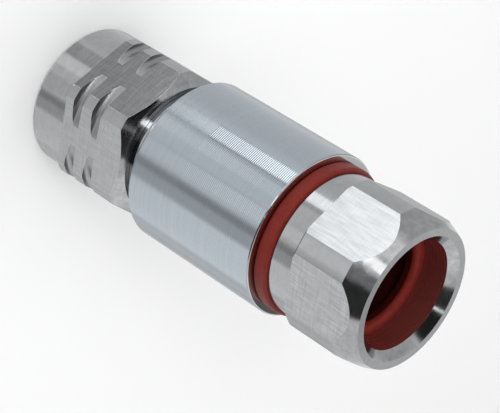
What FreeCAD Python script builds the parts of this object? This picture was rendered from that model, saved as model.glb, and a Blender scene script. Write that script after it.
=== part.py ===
import FreeCAD, Part
import math
import os

# Plug of the threaded 50 ohm coaxial family for a half-inch superflexible feeder, clamp type.
# It stands on the mouth of its coupling nut. Z runs up the axis towards the cable entry, and
# z = 0 is the mouth. X points at a corner of the clamp nut's hexagon. Lengths are in millimetres.
# Walls, steps, rises and depths are measured on one side of the axis.

# Clearances, as gaps on one side
running = 0.05
easy = 0.1
pressed = 0.01
resting = 0.03

# How far a cutting tool starts outside what it cuts
overrun = 1.0

# Mating face: the contacts and the gasket stand back from the coupling nut's mouth
contact_setback = 1.8
gasket_setback = 9.1
gasket_thickness = 1.5
gasket_wall = 1.75

# Outer contact
contact_d = 8.0
contact_wall = 0.5
contact_tip = 0.2
contact_finger_length = 7.0
contact_slots = 6
contact_slot_width = 0.45
contact_slot_length = 6.0
contact_turned = 22.5
contact_shank_rise = 1.0
contact_flange_rise = 0.6
contact_flange_length = 1.2

# Centre contact: pin in front, slotted socket for the feeder's core behind
pin_d = 1.65
pin_tip_d = 0.7
pin_tip_length = 0.7
pin_tip_setback = 0.8
pin_shoulder_setback = 5.3
core_d = 3.04
core_edge = 0.15
socket_bore = 3.7
socket_wall = 0.6
socket_lead_in = 0.3
socket_floor = 0.7
socket_slots = 4
socket_slot_width = 0.5
socket_slot_start = 1.2
socket_past_cone = 1.0

# Insulators, and the wall of the sleeve that spaces them
front_insulator_length = 4.0
spacer_wall = 0.65
rear_insulator_length = 3.0

# Main body
pilot_lip = 0.4
pilot_length = 1.3
neck_step = 0.5
neck_front_edge = 0.3
neck_in_view = 2.75
body_proud = 0.14
body_length = 21.65
body_front_edge = 0.1
body_rear_edge = 0.12
contact_seat_depth = 3.6
clamp_thread_depth = 13.3
clamp_thread_lead_in = 0.3

# Snap ring that holds the coupling nut on the neck
ring_setback = 1.4
ring_width = 0.9
ring_inset = 0.6
ring_rise = 0.5
ring_opening = 14.0

# Coupling nut, inside: 5/8-24 thread, a relief, then the bore that turns on the neck
thread_major_d = 15.88
thread_lead_in = 0.5
thread_relief_depth = 0.21
thread_relief_length = 2.5

# Coupling nut, outside: round nose, then a hexagon with turned corners and two corner grooves
nut_nose_wall = 2.01
nut_nose_length = 6.0
nut_nose_edge = 0.35
nut_flat_wall = 0.75
nut_corner_cut = 0.487
nut_bearing_length = 4.2
nut_rear_bevel = 1.35
nut_rear_land = 0.61
nut_turned = -4.0
groove_count = 2
groove_first = 1.43
groove_pitch = 3.6
groove_width = 1.54
groove_round = 0.65
groove_rear_slope = 0.23
groove_depth = 0.97

# Clamping collet, whose fingers close on the feeder's corrugated conductor
collet_lip_bore = 11.0
collet_lip_length = 0.9
collet_lip_rise = 0.8
collet_finger_wall = 0.9
collet_rim = 0.15
collet_length = 9.0
collet_ring_rise = 0.5
collet_ring_length = 2.0
collet_slots = 8
collet_slot_width = 0.7
collet_slot_stop = 0.8
garter_wire = 0.7
garter_setback = 2.6
garter_depth = 0.5

# Flare cone, and the room between it and the collet for the flared conductor
cone_flange_length = 2.4
cone_inset = 0.3
cone_tip_wall = 0.4
flare_room = 0.64

# Ring that keeps the collet in the clamp nut, and the washer that the nut turns on
retainer_width = 0.8
retainer_depth = 0.3
retainer_play = 0.25
retainer_opening = 16.0
washer_thickness = 0.6
washer_wall = 1.15

# Seal ring between the body and the clamp nut: a square section with round corners
seal_side = 2.08
seal_edge = 0.45

# Jacket gasket, which grips with a lip at its rear end, and the washer in front of it
jacket_hole = 12.4
jacket_wall = 2.05
jacket_length = 4.72
jacket_lip_length = 1.7
jacket_lip_slope = 0.5
jacket_lip_rise = 1.1
jacket_lip_edge = 0.8
jacket_inset = 4.68
jacket_washer_thickness = 0.5
jacket_washer_step = 0.8

# Clamp nut: threaded shank, neck under the seal ring, collar, hexagon and mouth
clamp_shank_gap = 2.4
clamp_shank_wall = 0.95
clamp_shank_edge = 0.6
clamp_shoulder = 0.75
clamp_neck_in_body = 0.4
clamp_neck_depth = 0.51
clamp_collar_rise = 1.58
clamp_collar_length = 3.5
clamp_collar_edge = 0.15
clamp_length = 14.57
clamp_flat_wall = 1.7
clamp_corner_cut = 0.727
clamp_front_bevel = 0.25
clamp_rear_bevel = 3.2
clamp_rear_land = 1.04
clamp_bore_step = 0.87
clamp_mouth_bevel = 1.05


def across_corners(flats):
    return 2 * flats / math.sqrt(3)


# Diameters of the contacts and of the line that holds them
contact_bore = contact_d - 2 * contact_wall
contact_shank_d = contact_d + 2 * contact_shank_rise
contact_flange_d = contact_shank_d + 2 * contact_flange_rise
line_bore = contact_flange_d + 2 * running
socket_d = socket_bore + 2 * socket_wall
gasket_in_d = contact_shank_d + 2 * running
gasket_out_d = gasket_in_d + 2 * gasket_wall
pilot_d = gasket_out_d + 2 * pilot_lip

# Diameters of the neck, the snap ring and the coupling nut
thread_relief_d = thread_major_d + 2 * thread_relief_depth
neck_d = thread_relief_d + 2 * neck_step
bearing_d = neck_d + 2 * running
ring_in_d = neck_d - 2 * ring_inset
ring_out_d = neck_d + 2 * ring_rise
ring_recess_d = ring_out_d + 2 * easy
nut_nose_d = thread_major_d + 2 * nut_nose_wall
nut_flats = ring_recess_d + 2 * nut_flat_wall
nut_corner_d = across_corners(nut_flats) - 2 * nut_corner_cut
nut_rear_d = bearing_d + 2 * nut_rear_land
body_d = nut_corner_d + 2 * body_proud

# Diameters of the clamp, from the feeder outwards
collet_bore = collet_lip_bore + 2 * collet_lip_rise
collet_finger_d = collet_bore + 2 * collet_finger_wall
collet_mouth_d = collet_finger_d - 2 * collet_rim
collet_ring_d = collet_finger_d + 2 * collet_ring_rise
cone_bore = collet_lip_bore - 2 * cone_inset
cone_tip_d = cone_bore + 2 * cone_tip_wall
cone_d = collet_finger_d
cavity_d = collet_ring_d + 2 * running
retainer_in_d = collet_finger_d + 2 * easy
retainer_out_d = cavity_d + 2 * retainer_depth
shank_d = cavity_d + 2 * clamp_shank_wall
clamp_thread_d = shank_d + 2 * running
cone_flange_d = clamp_thread_d - 2 * easy
clamp_neck_d = shank_d - 2 * clamp_neck_depth
clamp_collar_d = clamp_neck_d + 2 * clamp_collar_rise
seal_bore = clamp_neck_d + 2 * resting
throat_d = cavity_d - 2 * clamp_shoulder
jacket_out_d = jacket_hole + 2 * jacket_wall
jacket_groove_d = jacket_out_d + 2 * running
clamp_bore = jacket_groove_d - 2 * clamp_bore_step
clamp_mouth_d = clamp_bore + 2 * clamp_mouth_bevel
clamp_rear_d = clamp_mouth_d + 2 * clamp_rear_land
clamp_flats = jacket_groove_d + 2 * clamp_flat_wall
clamp_corner_d = across_corners(clamp_flats) - 2 * clamp_corner_cut

# Stations along the axis
gasket_z = contact_setback + gasket_setback
pilot_z = gasket_z + gasket_thickness
neck_z = pilot_z + pilot_length
ring_z = neck_z + ring_setback
bearing_z = neck_z - neck_front_edge
nut_length = neck_z + nut_bearing_length
body_z = nut_length + neck_in_view
body_end = body_z + body_length
contact_seat_z = pilot_z + contact_seat_depth
front_insulator_z = contact_seat_z + contact_flange_length
spacer_z = front_insulator_z + front_insulator_length
cone_z = body_end - clamp_thread_depth
rear_insulator_z = cone_z - rear_insulator_length
cone_face_z = cone_z + cone_flange_length
cone_tip_z = cone_face_z + (cone_d - cone_tip_d) / 2
collet_z = cone_face_z + flare_room + (cone_d - collet_mouth_d) / 2
collet_end = collet_z + collet_length
collet_ring_z = collet_end - collet_ring_length
garter_z = collet_z + garter_setback
retainer_z = collet_ring_z - retainer_play - retainer_width
washer_z = collet_end + resting
cavity_end = washer_z + washer_thickness + resting
shank_z = cone_face_z + clamp_shank_gap
collar_z = body_end + seal_side + 2 * resting
hex_z = collar_z + clamp_collar_length
clamp_end = collar_z + clamp_length
jacket_end = clamp_end - jacket_inset
jacket_z = jacket_end - running - jacket_length
jacket_washer_z = jacket_z - jacket_washer_thickness


def turned(points):
    """A solid turned about the axis from its half section, given as (diameter, z)."""
    corners = [FreeCAD.Vector(d / 2, 0, z) for d, z in points]
    section = Part.Face(Part.makePolygon(corners + corners[:1]))
    return section.revolve(FreeCAD.Vector(0, 0, 0), FreeCAD.Vector(0, 0, 1), 360)


def tube(outer_d, inner_d, z0, z1):
    return turned([(inner_d, z0), (outer_d, z0), (outer_d, z1), (inner_d, z1)])


def hexagon(flats, z0, z1, angle=0.0):
    """A hexagonal bar with its first corner at the given angle."""
    radius = across_corners(flats) / 2
    turns = [math.radians(angle + 60 * n) for n in range(6)]
    corners = [FreeCAD.Vector(radius * math.cos(a), radius * math.sin(a), z0) for a in turns]
    face = Part.Face(Part.makePolygon(corners + corners[:1]))
    return face.extrude(FreeCAD.Vector(0, 0, z1 - z0))


def slots(count, width, reach, z0, z1, angle=0.0):
    """Radial saw cuts from the axis outwards, as one tool."""
    blade = Part.makeBox(reach, width, z1 - z0, FreeCAD.Vector(0, -width / 2, z0))
    blades = []
    for n in range(count):
        cut = blade.copy()
        turn = angle + 360 * n / count
        cut.rotate(FreeCAD.Vector(0, 0, 0), FreeCAD.Vector(0, 0, 1), turn)
        blades.append(cut)
    return Part.makeCompound(blades)


def snap_ring(outer_d, inner_d, z, width, degrees):
    """A flat ring opened by a wedge of the given angle, centred on -X."""
    half = math.radians(degrees / 2)
    reach = outer_d
    foot = z - overrun
    tip = FreeCAD.Vector(0, 0, foot)
    far = [
        FreeCAD.Vector(-reach * math.cos(half), side * reach * math.sin(half), foot)
        for side in (1, -1)
    ]
    wedge = Part.Face(Part.makePolygon([tip] + far + [tip]))
    opening = wedge.extrude(FreeCAD.Vector(0, 0, width + 2 * overrun))
    return tube(outer_d, inner_d, z, z + width).cut(opening)


def rim(shape, diameter, z):
    """The circular edges of a shape with the given diameter at height z."""
    return [
        edge for edge in shape.Edges
        if isinstance(edge.Curve, Part.Circle)
        and math.isclose(2 * edge.Curve.Radius, diameter, abs_tol=1e-5)
        and math.isclose(edge.Curve.Center.z, z, abs_tol=1e-5)
    ]


def coupling_nut():
    nose = turned([
        (0, 0), (nut_nose_d - 2 * nut_nose_edge, 0), (nut_nose_d, nut_nose_edge),
        (nut_nose_d, nut_nose_length), (0, nut_nose_length),
    ])
    bar = hexagon(nut_flats, nut_nose_length, nut_length, nut_turned)
    envelope = turned([
        (0, nut_nose_length), (nut_corner_d, nut_nose_length),
        (nut_corner_d, nut_length - nut_rear_bevel), (nut_rear_d, nut_length), (0, nut_length),
    ])
    nut = nose.fuse(bar.common(envelope))
    root_d = nut_corner_d - 2 * groove_depth
    outside_d = nut_corner_d + 2 * overrun
    reach = (groove_depth + overrun) / groove_depth
    for n in range(groove_count):
        front = nut_nose_length + groove_first + n * groove_pitch
        rear = front + groove_width
        groove = turned([
            (root_d, front), (outside_d, front),
            (outside_d, rear + groove_rear_slope * reach), (root_d, rear),
        ])
        nut = nut.cut(groove.makeFillet(groove_round, rim(groove, root_d, front)))
    lead_d = thread_major_d + 2 * (thread_lead_in + overrun)
    relief_z = bearing_z - thread_relief_length
    recess_end = ring_z + ring_width + easy
    bore = turned([
        (0, -overrun), (lead_d, -overrun), (thread_major_d, thread_lead_in),
        (thread_major_d, relief_z), (thread_relief_d, relief_z),
        (thread_relief_d, bearing_z), (bearing_d, bearing_z),
        (bearing_d, ring_z - easy), (ring_recess_d, ring_z - easy),
        (ring_recess_d, recess_end), (bearing_d, recess_end),
        (bearing_d, nut_length + overrun), (0, nut_length + overrun),
    ])
    return nut.cut(bore)


def coupling_snap_ring():
    return snap_ring(ring_out_d, ring_in_d, ring_z, ring_width, ring_opening)


def interface_gasket():
    return tube(gasket_out_d, gasket_in_d, gasket_z, pilot_z)


def outer_contact():
    tip_z = contact_setback
    finger_end = tip_z + contact_finger_length
    shape = turned([
        (contact_bore + contact_tip, tip_z), (contact_d - contact_tip, tip_z),
        (contact_d, tip_z + contact_tip), (contact_d, finger_end),
        (contact_shank_d, finger_end + contact_shank_rise),
        (contact_shank_d, contact_seat_z), (contact_flange_d, contact_seat_z),
        (contact_flange_d, front_insulator_z), (contact_bore, front_insulator_z),
        (contact_bore, tip_z + contact_tip),
    ])
    slot_end = tip_z + contact_slot_length
    cuts = slots(contact_slots, contact_slot_width, contact_d, tip_z - overrun, slot_end,
                 contact_turned)
    return shape.cut(cuts)


def centre_contact():
    tip_z = contact_setback + pin_tip_setback
    shoulder_z = contact_setback + pin_shoulder_setback
    floor_z = rear_insulator_z + socket_floor
    end = cone_tip_z + socket_past_cone
    lead = socket_lead_in
    shape = turned([
        (0, tip_z), (pin_tip_d, tip_z), (pin_d, tip_z + pin_tip_length), (pin_d, shoulder_z),
        (core_d - 2 * core_edge, shoulder_z), (core_d, shoulder_z + core_edge),
        (core_d, rear_insulator_z), (socket_d, rear_insulator_z), (socket_d, end - lead),
        (socket_d - lead, end), (socket_bore + lead, end), (socket_bore, end - lead),
        (socket_bore, floor_z), (0, floor_z),
    ])
    slot_z = rear_insulator_z + socket_slot_start
    cuts = slots(socket_slots, socket_slot_width, socket_d, slot_z, end + overrun, 45)
    return shape.cut(cuts)


def front_insulator():
    return tube(line_bore - 2 * pressed, core_d + 2 * pressed, front_insulator_z, spacer_z)


def spacer_sleeve():
    outer_d = line_bore - 2 * pressed
    return tube(outer_d, outer_d - 2 * spacer_wall, spacer_z, rear_insulator_z)


def rear_insulator():
    return tube(line_bore - 2 * pressed, socket_d + 2 * pressed, rear_insulator_z, cone_z)


def main_body():
    groove_d = ring_in_d - 2 * easy
    groove_z = ring_z - running
    groove_end = ring_z + ring_width + running
    shape = turned([
        (0, pilot_z), (pilot_d, pilot_z), (pilot_d, neck_z), (neck_d - 2 * neck_front_edge, neck_z),
        (neck_d, neck_z + neck_front_edge), (neck_d, groove_z), (groove_d, groove_z),
        (groove_d, groove_end), (neck_d, groove_end), (neck_d, body_z),
        (body_d - 2 * body_front_edge, body_z), (body_d, body_z + body_front_edge),
        (body_d, body_end - body_rear_edge), (body_d - 2 * body_rear_edge, body_end),
        (0, body_end),
    ])
    shank_hole_d = contact_shank_d + 2 * pressed
    lead_d = clamp_thread_d + 2 * (clamp_thread_lead_in + overrun)
    bore = turned([
        (0, pilot_z - overrun), (shank_hole_d, pilot_z - overrun), (shank_hole_d, contact_seat_z),
        (line_bore, contact_seat_z), (line_bore, cone_z), (clamp_thread_d, cone_z),
        (clamp_thread_d, body_end - clamp_thread_lead_in), (lead_d, body_end + overrun),
        (0, body_end + overrun),
    ])
    return shape.cut(bore)


def flare_cone():
    return turned([
        (cone_bore, cone_z), (cone_flange_d, cone_z), (cone_flange_d, cone_face_z),
        (cone_d, cone_face_z), (cone_tip_d, cone_tip_z), (cone_bore, cone_tip_z),
    ])


def clamping_collet():
    lip_z = collet_z + (collet_mouth_d - collet_lip_bore) / 2
    lip_end = lip_z + collet_lip_length
    groove_d = collet_finger_d - 2 * garter_depth
    half = garter_wire / 2 + running
    shape = turned([
        (collet_mouth_d, collet_z), (collet_finger_d, collet_z),
        (collet_finger_d, garter_z - half), (groove_d, garter_z - half),
        (groove_d, garter_z + half), (collet_finger_d, garter_z + half),
        (collet_finger_d, collet_ring_z), (collet_ring_d, collet_ring_z),
        (collet_ring_d, collet_end), (collet_bore, collet_end),
        (collet_bore, lip_end + collet_lip_rise), (collet_lip_bore, lip_end),
        (collet_lip_bore, lip_z),
    ])
    slot_end = collet_ring_z - collet_slot_stop
    cuts = slots(collet_slots, collet_slot_width, collet_ring_d, collet_z - overrun, slot_end)
    return shape.cut(cuts)


def collet_garter_spring():
    radius = garter_wire / 2
    middle = collet_finger_d / 2 - garter_depth + running + radius
    return Part.makeTorus(middle, radius, FreeCAD.Vector(0, 0, garter_z))


def collet_retaining_ring():
    return snap_ring(retainer_out_d, retainer_in_d, retainer_z, retainer_width, retainer_opening)


def thrust_washer():
    outer_d = cavity_d - 4 * running
    return tube(outer_d, outer_d - 2 * washer_wall, washer_z, washer_z + washer_thickness)


def body_seal_ring():
    z0 = body_end + resting
    z1 = z0 + seal_side
    outer_d = seal_bore + 2 * seal_side
    ring = tube(outer_d, seal_bore, z0, z1)
    corners = [edge for d in (seal_bore, outer_d) for z in (z0, z1) for edge in rim(ring, d, z)]
    return ring.makeFillet(seal_edge, corners)


def clamp_nut():
    neck_z0 = body_end - clamp_neck_in_body
    shank = turned([
        (0, shank_z), (shank_d - 2 * clamp_shank_edge, shank_z),
        (shank_d, shank_z + clamp_shank_edge), (shank_d, neck_z0), (clamp_neck_d, neck_z0),
        (clamp_neck_d, collar_z), (clamp_collar_d - 2 * clamp_collar_edge, collar_z),
        (clamp_collar_d, collar_z + clamp_collar_edge), (clamp_collar_d, hex_z), (0, hex_z),
    ])
    bar = hexagon(clamp_flats, hex_z, clamp_end)
    envelope = turned([
        (0, hex_z), (clamp_corner_d - 2 * clamp_front_bevel, hex_z),
        (clamp_corner_d, hex_z + clamp_front_bevel), (clamp_corner_d, clamp_end - clamp_rear_bevel),
        (clamp_rear_d, clamp_end), (0, clamp_end),
    ])
    keeper_d = retainer_out_d + 2 * running
    keeper_z = retainer_z - running
    keeper_end = retainer_z + retainer_width + running
    bore = turned([
        (0, shank_z - overrun), (cavity_d, shank_z - overrun), (cavity_d, keeper_z),
        (keeper_d, keeper_z), (keeper_d, keeper_end), (cavity_d, keeper_end),
        (cavity_d, cavity_end), (throat_d, cavity_end), (throat_d, jacket_washer_z),
        (jacket_groove_d, jacket_washer_z), (jacket_groove_d, jacket_end),
        (clamp_bore, jacket_end), (clamp_bore, clamp_end - clamp_mouth_bevel),
        (clamp_mouth_d + 2 * overrun, clamp_end + overrun), (0, clamp_end + overrun),
    ])
    return shank.fuse(bar.common(envelope)).cut(bore)


def jacket_washer():
    inner_d = jacket_hole + 2 * jacket_washer_step
    return tube(jacket_out_d, inner_d, jacket_washer_z, jacket_z)


def jacket_gasket():
    end = jacket_z + jacket_length
    lip_z = end - jacket_lip_length
    skirt_d = jacket_hole + 2 * jacket_lip_rise
    shape = turned([
        (skirt_d, jacket_z), (jacket_out_d, jacket_z), (jacket_out_d, end), (jacket_hole, end),
        (jacket_hole, lip_z), (skirt_d, lip_z - jacket_lip_slope),
    ])
    return shape.makeFillet(jacket_lip_edge, rim(shape, jacket_hole, end))


makers = [
    coupling_nut, coupling_snap_ring, interface_gasket, outer_contact, centre_contact,
    front_insulator, spacer_sleeve, rear_insulator, main_body, flare_cone, clamping_collet,
    collet_garter_spring, collet_retaining_ring, thrust_washer, body_seal_ring, clamp_nut,
    jacket_washer, jacket_gasket,
]

os.makedirs("parts", exist_ok=True)
for make in makers:
    name = make.__name__
    shape = make()
    if not shape.isValid() or len(shape.Solids) != 1:
        raise ValueError(f"{name} is not one sound solid")
    shape.Solids[0].exportStep(f"parts/{name}.step")
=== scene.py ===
import math

import bmesh
import bpy
from mathutils import Matrix, Vector


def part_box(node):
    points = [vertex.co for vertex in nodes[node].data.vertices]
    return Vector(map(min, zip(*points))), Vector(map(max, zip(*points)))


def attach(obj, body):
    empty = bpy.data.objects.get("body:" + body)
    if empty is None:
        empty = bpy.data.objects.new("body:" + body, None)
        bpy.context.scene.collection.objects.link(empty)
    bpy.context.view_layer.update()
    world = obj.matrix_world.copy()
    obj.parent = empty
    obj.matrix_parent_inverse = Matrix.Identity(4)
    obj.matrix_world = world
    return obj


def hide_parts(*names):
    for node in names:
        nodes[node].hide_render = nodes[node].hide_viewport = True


# Looks of the coaxial plug. Lengths are in millimetres, and MM turns them into the scene's metres.
MM = 0.001

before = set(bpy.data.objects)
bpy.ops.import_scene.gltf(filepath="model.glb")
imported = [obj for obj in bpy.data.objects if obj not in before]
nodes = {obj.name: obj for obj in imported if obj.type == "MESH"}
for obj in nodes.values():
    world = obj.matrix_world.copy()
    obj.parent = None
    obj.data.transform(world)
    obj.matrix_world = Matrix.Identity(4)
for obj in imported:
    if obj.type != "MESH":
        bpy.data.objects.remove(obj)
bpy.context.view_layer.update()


def rear_end(name):
    """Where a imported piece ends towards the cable, which is upwards."""
    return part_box(name)[1].z / MM


# Camera, solved from the outlines in the photograph, in the part's frame
CAMERA_PLACE = (200.70, -26.08, 170.22)
CAMERA_RIGHT = (-0.543382, -0.467349, 0.697368)
CAMERA_UP = (0.186443, -0.877146, -0.442554)
CAMERA_BACK = (0.818521, -0.110456, 0.563759)
CAMERA_LENS = 139.27
CAMERA_SENSOR = 36.0
CAMERA_NEAR = 10
CAMERA_FAR = 5000

# Edges of the machined pieces: how far they are broken, and the angles that tell them apart
EDGE_BREAK = 0.07
EDGE_STEPS = 2
SAME_POINT = 0.001
FLAT_WITHIN = math.radians(0.4)
SHARP_FROM = math.radians(14)
SMOOTH_UP_TO = math.radians(25)

# Threads: inside the coupling nut, and on the shank of the clamp nut
COUPLING_MAJOR_R = 7.94
COUPLING_MINOR_R = 7.45
COUPLING_PITCH = 25.4 / 24
COUPLING_THREAD_Z = (0.6, 10.8)
CLAMP_MAJOR_R = 8.70
CLAMP_ROOT_R = 8.22
CLAMP_PITCH = 1.0
CLAMP_THREAD_Z = (34.3, 41.85)
CLAMP_SHANK_END_Z = CLAMP_THREAD_Z[1] + 0.2
SHANK_WITHIN = 0.01
THREAD_BACK = 0.03

# In one pitch a thread's flank would rise so many times its height. Over 2 leaves a flat crest.
FLANK_RISE = 2.4

# Steps of a thread's mesh in a turn and in a pitch
TURN_STEPS = 96
PITCH_STEPS = 10
THREAD_SHARP_FROM = math.radians(50)

# Where the finishes change: the coupling nut's grooves, the body's two ends and the start of its
# turned part, and the clamp nut's mouth, whose bore takes a painted reflection of the gasket
GROOVE_Z = (7.43, 7.43 + 3.6)
GROOVE_WIDTH = 1.77
FRONT_END_Z = rear_end("coupling_nut") + 2.8
TURNED_FROM_Z = 28.4
TURNED_BORDER = 0.15
REAR_END_Z = rear_end("main_body") - 0.8
MOUTH_Z = rear_end("jacket_gasket") - 0.33
MOUTH_R = 7.6

# Faces are told apart by the part of their normal that points up the axis, and by their area
UPRIGHT_UNDER = 0.01
BEVEL_OVER = 0.2
BEVEL_UNDER = 0.9
LEVEL_OVER = 0.95
HEXAGON_SIDE_OVER = 8

# Where the jacket gasket's lip starts, and how much of the rubber's colour is left in front of it,
# where painted shade darkens the rubber deep in the bore
GASKET_LIP_Z = rear_end("jacket_gasket") - 0.73
GASKET_BORDER = 0.25
GASKET_PAINTED_SHADE = 0.2

# How far the tool moved in each turn of the body's rear part
TURNING_FEED = 0.28

# How far the hexagons' sides lie from the axis, and how thin the lines on them are for their length
HEXAGON_R = 10.0
LINE_THINNESS = 9.0

# How far the turned metal stands out of true, and how much its gloss varies
UNEVEN = 0.004
GLOSS_VARIES = 0.15

# Between these a noise mostly lies
NOISE_LOW = 0.3
NOISE_HIGH = 0.7

# The floor lies a hair lower than the part, so that their faces don't coincide
FLOOR_DROP = 0.01
FLOOR_HALF = 3000

# Colours, linear
NICKEL = (0.35, 0.36, 0.37)
MILLED = (0.345, 0.355, 0.365)
CROSSED = (0.36, 0.37, 0.38)
CUT = (0.32, 0.325, 0.33)
BEVELLED = (0.36, 0.365, 0.372)
POLISHED = (0.70, 0.70, 0.70)
# A painted highlight: a near-white metal for the broken edges, which stands for the glints on them
PAINTED_EDGE_HIGHLIGHT = (0.95, 0.95, 0.95)
# A painted reflection: the red of the gasket's mirror image, put into the clamp nut's bore
PAINTED_REFLECTION_RED = (0.22, 0.045, 0.038)
SATIN = (0.37, 0.41, 0.45)
BRASS = (0.62, 0.45, 0.20)
WHITE_BRONZE = (0.60, 0.58, 0.52)
BRONZE = (0.50, 0.32, 0.17)
STEEL = (0.42, 0.42, 0.43)
RED = (0.174, 0.0188, 0.0137)
FLUOROPOLYMER = (0.80, 0.80, 0.77)
FLOOR = (0.95, 0.95, 0.95)

# The lamp's middle, as a compass angle, a height and a distance, and the height that it faces
LAMP_AZIMUTH = -8
LAMP_HEIGHT = 330
LAMP_DISTANCE = 180
LAMP_SIDE = 250
LAMP_POWER = 0.55
LAMP_FACES_Z = 30

# What surrounds the part: each line has the azimuths and the elevations between which it is
# seen, in degrees, the width of its soft border, and its radiance, where the rest has 1. A
# later line covers an earlier one.
STUDIO = [
    # To the sides
    ((-155, -75), (-24, 50), 30, 0.72),
    ((85, 125), (15, 50), 20, 1.25),
    ((-66, -33), (-2, 30), 8, 1.4),
    # Dark flags, which the bevels mirror, and the small lamps that flash in them
    ((-74, 60), (43, 110), 10, 0.015),
    ((-6, 14), (-4, 44), 6, 0.35),
    ((12, 58), (-4, 64), 10, 0.05),
    ((2, 8), (48, 64), 6, 3.0),
    ((-27, -13), (4, 26), 6, 2.7),
    ((-26, -14), (33, 44), 5, 9.0),
    # On the far side, which the level faces mirror
    ((172, 192), (31, 36.5), 2, 0.55),
    ((150, 173), (30.5, 38), 3, 0.1),
    # Far below, which the coupling nut's bevel mirrors by way of the body's front face
    ((-90, 90), (-88, -54), 8, 0.08),
    ((-30, -18), (-78, -58), 5, 8.0),
    # Low all round, which the upright sides mirror
    ((-160, -80), (-50, -24), 20, 0.88),
    ((160, 200), (-50, -24), 20, 0.60),
    ((112, 160), (-46, -24), 10, 0.83),
    ((134, 160), (-46, -24), 12, 0.64),
    ((52, 112), (-46, -24), 8, 1.2),
    ((52, 112), (-54, -38.5), 3, 1.05),
    ((20, 52), (-54, -24), 8, 0.68),
    ((24, 34), (-54, -24), 8, 0.45),
    ((-4, 14), (-38, -24), 4, 1.25),
    ((-8, 16), (-54, -38), 3, 0.8),
    ((-45, -24), (-54, -38), 3, 1.35),
    ((-72, -46), (-54, -37.6), 2, 0.52),
    ((-46, -39), (-37.4, -27), 3, 0.7),
    ((-66, -47), (-34.3, -8), 1.5, 2.75),
    ((-72, -54), (-37, -34.3), 1.5, 1.2),
]


def node(tree, kind, inputs=None, **settings):
    """Adds a shader node. An input takes a socket, which is linked, or a plain value."""
    made = tree.nodes.new("ShaderNode" + kind)
    for name, value in settings.items():
        setattr(made, name, value)
    for name, value in (inputs or {}).items():
        socket = made.inputs[name]
        if isinstance(value, bpy.types.NodeSocket):
            tree.links.new(value, socket)
        else:
            socket.default_value = value
    return made


def maths(tree, operation, *values):
    return node(tree, "Math", dict(enumerate(values)), operation=operation).outputs[0]


def ramp(tree, value, start, end, first=0.0, last=1.0):
    """Goes smoothly from first to last while the value goes from start to end."""
    inputs = {0: value, 1: start, 2: end, 3: first, 4: last}
    return node(tree, "MapRange", inputs, interpolation_type="SMOOTHSTEP").outputs[0]


def new_material(name, colour, metallic, roughness):
    """A material with a principled shader, and the place in millimetres as a socket."""
    material = bpy.data.materials.new(name)
    material.use_nodes = True
    tree = material.node_tree
    shader = tree.nodes["Principled BSDF"]
    shader.inputs["Base Color"].default_value = (*colour, 1)
    shader.inputs["Metallic"].default_value = metallic
    shader.inputs["Roughness"].default_value = roughness
    place = node(tree, "TexCoord").outputs["Object"]
    scaled = node(tree, "VectorMath", {0: place, 1: (1 / MM,) * 3}, operation="MULTIPLY")
    return material, tree, shader, scaled.outputs[0]


def parts_of(tree, vector):
    """The x, y and z of a vector, as sockets."""
    return node(tree, "SeparateXYZ", {0: vector}).outputs


def angle_round(tree, vector):
    """How far a vector is turned about the axis, in radians."""
    x, y, z = parts_of(tree, vector)
    return maths(tree, "ARCTAN2", y, x)


def noise(tree, vector, scale, detail=2.0, roughness=0.5):
    inputs = {"Vector": vector, "Scale": scale, "Detail": detail, "Roughness": roughness}
    return node(tree, "TexNoise", inputs).outputs["Fac"]


def spread(tree, value, low, high):
    """Maps a noise value to a range."""
    inputs = {0: value, 1: NOISE_LOW, 2: NOISE_HIGH, 3: low, 4: high}
    return node(tree, "MapRange", inputs).outputs[0]


def shaded(tree, shader, colour, *layers, factor=None):
    """Varies the colour. Each layer is a noise, and how far it takes the colour up and down."""
    for value, amount in layers:
        layer = spread(tree, value, 1 - amount, 1 + amount)
        factor = maths(tree, "MULTIPLY", factor, layer) if factor else layer
    tinted = node(tree, "VectorMath", {0: colour, 3: factor}, operation="SCALE")
    tree.links.new(tinted.outputs[0], shader.inputs["Base Color"])


def uneven_gloss(tree, shader, value, roughness):
    """Varies the roughness a little by a noise."""
    rough = spread(tree, value, roughness * (1 - GLOSS_VARIES), roughness * (1 + GLOSS_VARIES))
    tree.links.new(rough, shader.inputs["Roughness"])


def bump(tree, shader, height, depth):
    """Raises the surface by the height times so many millimetres."""
    made = node(tree, "Bump", {"Height": height, "Strength": 1.0, "Distance": depth * MM})
    tree.links.new(made.outputs[0], shader.inputs["Normal"])


def lathe_rings(tree, place, lines):
    """Noise that runs in rings round the axis, with about so many lines to a millimetre."""
    x, y, z = parts_of(tree, place)
    flat = node(tree, "CombineXYZ", {0: x, 1: y}).outputs[0]
    radius = node(tree, "VectorMath", {0: flat}, operation="LENGTH").outputs["Value"]
    slow = maths(tree, "MULTIPLY", angle_round(tree, place), 0.15)
    rings = node(tree, "CombineXYZ", {0: radius, 1: z, 2: slow}).outputs[0]
    return noise(tree, rings, lines, 2.0, 0.6)


def along_axis(tree, shader, amount):
    """Stretches the highlights along the axis, as the rings from a lathe do."""
    shader.inputs["Anisotropic"].default_value = amount
    shader.inputs["Anisotropic Rotation"].default_value = 0.25
    tangent = node(tree, "Tangent", direction_type="RADIAL", axis="Z")
    tree.links.new(tangent.outputs[0], shader.inputs["Tangent"])


def turned_metal(name, colour, roughness, lines, depth, stretch=0.6, uneven=UNEVEN, patches=0.05,
                 metallic=1.0):
    """Metal with the fine rings that a lathe leaves, on a surface that isn't quite even."""
    material, tree, shader, place = new_material(name, colour, metallic, roughness)
    rings = lathe_rings(tree, place, lines)
    blotches = noise(tree, place, 1.0, 4.0, 0.6)
    waves = noise(tree, place, 0.8, 3.0, 0.6)
    shaded(tree, shader, colour, (blotches, patches), (rings, 0.03))
    uneven_gloss(tree, shader, rings, roughness)
    along_axis(tree, shader, stretch)
    height = maths(tree, "MULTIPLY_ADD", waves, uneven, maths(tree, "MULTIPLY", rings, depth))
    bump(tree, shader, height, 1.0)
    return material


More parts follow.
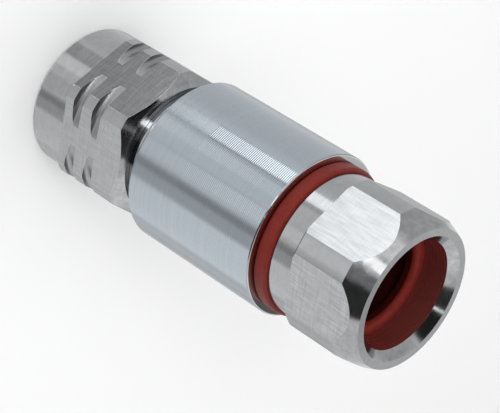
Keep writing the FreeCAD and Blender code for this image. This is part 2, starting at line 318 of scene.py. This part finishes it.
def body_metal(name, colour, front, rear, depth):
    """The body's metal: satin in its front part, finely turned and brighter behind that.

    Front and rear are the roughness of the two, and depth is that of the turned lines.
    """
    material, tree, shader, place = new_material(name, colour, 1.0, front)
    z = parts_of(tree, place)[2]
    behind = ramp(tree, z, TURNED_FROM_Z - TURNED_BORDER, TURNED_FROM_Z + TURNED_BORDER)
    rings = lathe_rings(tree, place, 2.0)
    turns = maths(tree, "SINE", maths(tree, "MULTIPLY", z, 2 * math.pi / TURNING_FEED))
    sand = noise(tree, place, 5.0, 2.0)
    shaded(tree, shader, colour, (sand, 0.03), (rings, 0.02))
    finish = ramp(tree, behind, 0.0, 1.0, front, rear)
    grain = spread(tree, sand, 0.9, 1.1)
    tree.links.new(maths(tree, "MULTIPLY", finish, grain), shader.inputs["Roughness"])
    along_axis(tree, shader, 0.6)
    cut = maths(tree, "MULTIPLY_ADD", turns, 0.8, rings)
    bump(tree, shader, maths(tree, "MULTIPLY", cut, behind), depth)
    return material


def milled_metal(name, colour, roughness, depth, contrast):
    """Metal with the crossed lines that a cutter leaves on a hexagon's sides."""
    material, tree, shader, place = new_material(name, colour, 1.0, roughness)
    across = maths(tree, "MULTIPLY", angle_round(tree, place), HEXAGON_R)
    z = parts_of(tree, place)[2]
    upright_at = {0: maths(tree, "MULTIPLY", across, LINE_THINNESS), 1: z}
    level_at = {0: across, 1: maths(tree, "MULTIPLY", z, LINE_THINNESS)}
    upright = noise(tree, node(tree, "CombineXYZ", upright_at).outputs[0], 0.34, 1.0)
    level = noise(tree, node(tree, "CombineXYZ", level_at).outputs[0], 0.34, 1.0)
    shaded(tree, shader, colour, (upright, contrast), (level, contrast))
    uneven_gloss(tree, shader, level, roughness)
    bump(tree, shader, maths(tree, "ADD", upright, level), depth)
    return material


def rubber(name, colour, roughness, lip_z=None):
    """Rubber, with painted shade that darkens it in front of its lip, where it has one."""
    material, tree, shader, place = new_material(name, colour, 0.0, roughness)
    shader.inputs["Specular IOR Level"].default_value = 0.15
    lip = None
    if lip_z is not None:
        z = parts_of(tree, place)[2]
        lip = ramp(tree, z, lip_z - GASKET_BORDER, lip_z, GASKET_PAINTED_SHADE, 1.0)
    shaded(tree, shader, colour, (noise(tree, place, 1.5, 3.0), 0.1), factor=lip)
    bump(tree, shader, noise(tree, place, 12.0, 2.0), 0.01)
    return material


def polymer(name, colour, roughness):
    material, tree, shader, place = new_material(name, colour, 0.0, roughness)
    shaded(tree, shader, colour, (noise(tree, place, 0.8, 2.0), 0.03))
    bump(tree, shader, noise(tree, place, 8.0, 2.0), 0.005)
    return material


def finish_with(piece, material):
    piece.data.materials.clear()
    piece.data.materials.append(material)


def new_piece(name, shape, materials, body):
    """Makes an object of a bmesh, which it uses up. The piece rides on the body."""
    mesh = bpy.data.meshes.new(name)
    for material in materials:
        mesh.materials.append(material)
    shape.to_mesh(mesh)
    shape.free()
    piece = bpy.data.objects.new(name, mesh)
    bpy.context.scene.collection.objects.link(piece)
    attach(piece, body)
    return piece


def break_edges(shape):
    """Bevels the sharp edges of a bmesh, and returns the faces that this makes."""
    sharp = [e for e in shape.edges if e.is_manifold and e.calc_face_angle() > SHARP_FROM]
    made = bmesh.ops.bevel(shape, geom=sharp, offset=EDGE_BREAK * MM, offset_type="OFFSET",
                           segments=EDGE_STEPS, profile=0.5, affect="EDGES", clamp_overlap=True)
    shape.normal_update()
    return {face for face in made["faces"] if face.is_valid}


def dressed(source, name, body, material, others, edges=None, reshape=None):
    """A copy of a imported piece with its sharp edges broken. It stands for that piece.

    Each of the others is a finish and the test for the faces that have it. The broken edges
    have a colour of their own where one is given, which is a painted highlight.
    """
    shape = bmesh.new()
    shape.from_mesh(source.data)
    bmesh.ops.remove_doubles(shape, verts=shape.verts, dist=SAME_POINT * MM)
    bmesh.ops.dissolve_limit(shape, angle_limit=FLAT_WITHIN, verts=shape.verts, edges=shape.edges)
    if reshape:
        for vertex in shape.verts:
            reshape(vertex)
    broken = break_edges(shape)
    materials = [material] + [finish for finish, test in others]
    for face in shape.faces:
        passed = [number for number, (finish, test) in enumerate(others, 1) if test(face)]
        face.material_index = passed[0] if passed else 0
        face.smooth = True
    if edges:
        for face in broken:
            face.material_index = len(materials)
        materials.append(edges)
    for edge in shape.edges:
        sides = {face in broken for face in edge.link_faces}
        edge.smooth = len(sides) == 1 and edge.calc_face_angle(0.0) < SMOOTH_UP_TO
    piece = new_piece(name, shape, materials, body)
    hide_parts(source.name)
    piece.modifiers.new("even_normals", "WEIGHTED_NORMAL").keep_sharp = True


def on_hexagon(face):
    """True for a face of a hexagon's side: upright, and large."""
    return abs(face.normal.z) < UPRIGHT_UNDER and face.calc_area() > HEXAGON_SIDE_OVER * MM * MM


def on_bevel(face):
    """True for a bevel that faces partly to the rear."""
    return BEVEL_OVER < face.normal.z < BEVEL_UNDER


def in_groove(face):
    """True for the coupling nut's corner grooves."""
    z = face.calc_center_median().z / MM
    return any(start < z < start + GROOVE_WIDTH for start in GROOVE_Z)


def in_mouth(face):
    """True for the clamp nut's bore behind the jacket gasket, where the gasket's reflection is
    painted.
    """
    centre = face.calc_center_median() / MM
    return centre.z > MOUTH_Z and centre.xy.length < MOUTH_R and face.normal.z < BEVEL_OVER


def at_rear_end(face):
    """True for the body's rear end face."""
    return face.normal.z > LEVEL_OVER and face.calc_center_median().z > REAR_END_Z * MM


def at_front_end(face):
    """True for the neck and for the face that the body turns to the coupling nut."""
    return face.calc_center_median().z < FRONT_END_Z * MM


def to_thread_root(vertex):
    """Lowers the clamp nut's shank to its thread's root, where the thread's own piece lies."""
    radius = vertex.co.xy.length
    on_shank = abs(radius - CLAMP_MAJOR_R * MM) < SHANK_WITHIN * MM
    if on_shank and vertex.co.z < CLAMP_SHANK_END_Z * MM:
        factor = CLAMP_ROOT_R * MM / radius
        vertex.co.x *= factor
        vertex.co.y *= factor


def ring_of_points(shape, z, radius_at):
    """Adds a ring of points to a bmesh, with the radius that each share of a turn has."""
    ring = []
    for step in range(TURN_STEPS):
        turn = step / TURN_STEPS
        angle = 2 * math.pi * turn
        radius = radius_at(turn)
        place = Vector((radius * math.cos(angle), radius * math.sin(angle), z))
        ring.append(shape.verts.new(place * MM))
    return ring


def helix(name, back_r, root_r, crest_r, pitch, span, body, material):
    """A sleeve whose threaded side waves between root and crest, and whose back is plain."""
    shape = bmesh.new()
    z0, z1 = span
    levels = round((z1 - z0) / pitch * PITCH_STEPS)
    rows = []
    for level in range(levels + 1):
        z = z0 + (z1 - z0) * level / levels
        fade = min(1.0, (z - z0) / pitch, (z1 - z) / pitch)

        def threaded(turn):
            phase = (z / pitch - turn) % 1.0
            rise = min(1.0, FLANK_RISE * min(phase, 1 - phase)) * fade
            return root_r + (crest_r - root_r) * rise

        rows.append(ring_of_points(shape, z, threaded))
    for z in (z1, z0):
        rows.append(ring_of_points(shape, z, lambda turn: back_r))
    for low, high in zip(rows, rows[1:] + rows[:1]):
        for a, b, c, d in zip(low, low[1:] + low[:1], high[1:] + high[:1], high):
            shape.faces.new((a, b, c, d))
    bmesh.ops.recalc_face_normals(shape, faces=shape.faces)
    piece = new_piece(name, shape, [material], body)
    piece.data.shade_smooth()
    piece.data.set_sharp_from_angle(angle=THREAD_SHARP_FROM)


def make_camera():
    data = bpy.data.cameras.new("camera")
    data.sensor_width = CAMERA_SENSOR
    data.lens = CAMERA_LENS
    data.clip_start = CAMERA_NEAR * MM
    data.clip_end = CAMERA_FAR * MM
    camera = bpy.data.objects.new("camera", data)
    turn = Matrix((CAMERA_RIGHT, CAMERA_UP, CAMERA_BACK)).transposed()
    camera.matrix_world = Matrix.Translation(Vector(CAMERA_PLACE) * MM) @ turn.to_4x4()
    bpy.context.scene.collection.objects.link(camera)
    bpy.context.scene.camera = camera


def make_floor():
    """A pale floor. The metal doesn't mirror it, but the studio's panels below it."""
    material, tree, shader, place = new_material("floor", FLOOR, metallic=0.0, roughness=0.6)
    shaded(tree, shader, FLOOR, (noise(tree, place, 0.02), 0.005))
    mesh = bpy.data.meshes.new("floor")
    half = FLOOR_HALF * MM
    low = -FLOOR_DROP * MM
    corners = [(-half, -half, low), (half, -half, low), (half, half, low), (-half, half, low)]
    mesh.from_pydata(corners, [], [(0, 1, 2, 3)])
    floor = bpy.data.objects.new("floor", mesh)
    bpy.context.scene.collection.objects.link(floor)
    finish_with(floor, material)
    floor.visible_glossy = False


def make_lamp():
    """A soft square panel that faces the middle of the part."""
    data = bpy.data.lights.new("key", "AREA")
    data.shape = "SQUARE"
    data.size = LAMP_SIDE * MM
    data.energy = LAMP_POWER
    lamp = bpy.data.objects.new("key", data)
    angle = math.radians(LAMP_AZIMUTH)
    across = Vector((math.cos(angle), math.sin(angle), 0)) * LAMP_DISTANCE
    place = (across + Vector((0, 0, LAMP_HEIGHT))) * MM
    target = Vector((0, 0, LAMP_FACES_Z)) * MM
    lamp.location = place
    lamp.rotation_mode = "QUATERNION"
    lamp.rotation_quaternion = (target - place).to_track_quat("-Z", "Y")
    lamp.visible_camera = False
    lamp.visible_glossy = False
    bpy.context.scene.collection.objects.link(lamp)


def within(tree, angle, low, high, soft):
    """One between two angles in degrees and zero outside, with a border so many degrees wide."""
    off = maths(tree, "SUBTRACT", angle, (low + high) / 2)
    distance = maths(tree, "ABSOLUTE", maths(tree, "WRAP", off, 180.0, -180.0))
    half = (high - low) / 2
    return ramp(tree, distance, half - soft / 2, half + soft / 2, 1.0, 0.0)


def make_world(panels):
    """A studio that is white all round, with panels and flags painted over it by direction."""
    world = bpy.data.worlds.new("studio")
    world.use_nodes = True
    tree = world.node_tree
    direction = node(tree, "TexCoord").outputs["Generated"]
    azimuth = maths(tree, "DEGREES", angle_round(tree, direction))
    elevation = maths(tree, "DEGREES", maths(tree, "ARCSINE", parts_of(tree, direction)[2]))
    light = 1.0
    for (left, right), (low, high), soft, radiance in panels:
        beside = within(tree, azimuth, left, right, soft)
        level = within(tree, elevation, low, high, soft)
        seen = maths(tree, "MULTIPLY", beside, level)
        light = ramp(tree, seen, 0.0, 1.0, light, radiance)
    background = tree.nodes["Background"]
    background.inputs["Color"].default_value = (1, 1, 1, 1)
    tree.links.new(light, background.inputs["Strength"])
    bpy.context.scene.world = world


nickel = turned_metal("turned_nickel", NICKEL, roughness=0.15, lines=3.5, depth=0.002)
nut_flat = milled_metal("milled_nickel", MILLED, roughness=0.12, depth=0.0003, contrast=0.055)
clamp_flat = milled_metal("crossed_nickel", CROSSED, roughness=0.2, depth=0.002, contrast=0.095)
nickel_cut = turned_metal("cut_nickel", CUT, roughness=0.36, lines=3.5, depth=0.0005, stretch=0.0)
nickel_bevel = turned_metal("bevelled_nickel", BEVELLED, roughness=0.14, lines=3.5, depth=0.0005,
                            stretch=0.3, uneven=0.003, patches=0.16)
satin = body_metal("body_nickel", SATIN, front=0.18, rear=0.1, depth=0.003)
polished = turned_metal("polished_face", POLISHED, roughness=0.06, lines=8.0, depth=0.0002,
                        stretch=0.0)
edge_highlight_paint = turned_metal("edge_painted_highlight", PAINTED_EDGE_HIGHLIGHT, roughness=0.15, lines=3.5, depth=0.0002, stretch=0.0)
smooth = turned_metal("smooth_nickel", NICKEL, roughness=0.08, lines=6.0, depth=0.0003, stretch=0.0)
brass = turned_metal("turned_brass", BRASS, roughness=0.25, lines=6.0, depth=0.004)
white_bronze = turned_metal("white_bronze", WHITE_BRONZE, roughness=0.2, lines=8.0, depth=0.002)
bronze = turned_metal("spring_bronze", BRONZE, roughness=0.3, lines=6.0, depth=0.003)
steel = turned_metal("spring_steel", STEEL, roughness=0.25, lines=10.0, depth=0.002)
red_rubber = rubber("red_silicone", RED, roughness=0.45)
# The jacket gasket's rubber has painted shade in its bore, in front of its lip
gasket_rubber = rubber("lipped_silicone", RED, roughness=0.45, lip_z=GASKET_LIP_Z)
white_polymer = polymer("white_fluoropolymer", FLUOROPOLYMER, roughness=0.5)

# The clamp nut's bore has a painted reflection: it is coloured red, part metal and part diffuse,
# for the gasket's mirror image that the bore shows in the photograph
painted_gasket_reflection = turned_metal("nickel_painted_red_reflection", PAINTED_REFLECTION_RED, roughness=0.25, lines=3.5, depth=0.0003,
                        stretch=0.0, metallic=0.45)

plain = {
    "coupling_snap_ring": bronze, "interface_gasket": red_rubber, "outer_contact": white_bronze,
    "centre_contact": white_bronze, "front_insulator": white_polymer, "spacer_sleeve": brass,
    "rear_insulator": white_polymer, "flare_cone": brass, "clamping_collet": brass,
    "collet_garter_spring": steel, "collet_retaining_ring": bronze,
    "thrust_washer": white_polymer, "body_seal_ring": red_rubber, "jacket_washer": brass,
    "jacket_gasket": gasket_rubber,
}
for name, material in plain.items():
    finish_with(nodes[name], material)

# The coupling nut's broken edges take the painted highlight
dressed(nodes["coupling_nut"], "coupling_nut_shell", "coupling", nickel,
        [(nut_flat, on_hexagon), (nickel_cut, in_groove), (nickel_bevel, on_bevel)],
        edges=edge_highlight_paint)
dressed(nodes["main_body"], "body_shell", "body", satin,
        [(polished, at_rear_end), (smooth, at_front_end)])
# The clamp nut's bore behind the gasket takes the painted reflection of the gasket
dressed(nodes["clamp_nut"], "clamp_nut_shell", "clamp", nickel,
        [(clamp_flat, on_hexagon), (painted_gasket_reflection, in_mouth), (nickel_bevel, on_bevel)],
        reshape=to_thread_root)
helix("coupling_thread", COUPLING_MAJOR_R + THREAD_BACK, COUPLING_MAJOR_R, COUPLING_MINOR_R,
      COUPLING_PITCH, COUPLING_THREAD_Z, "coupling", nickel)
helix("clamp_thread", CLAMP_ROOT_R - THREAD_BACK, CLAMP_ROOT_R, CLAMP_MAJOR_R,
      CLAMP_PITCH, CLAMP_THREAD_Z, "clamp", nickel)

make_floor()
make_world(STUDIO)
make_lamp()
make_camera()
bpy.context.scene.view_settings.view_transform = "Standard"
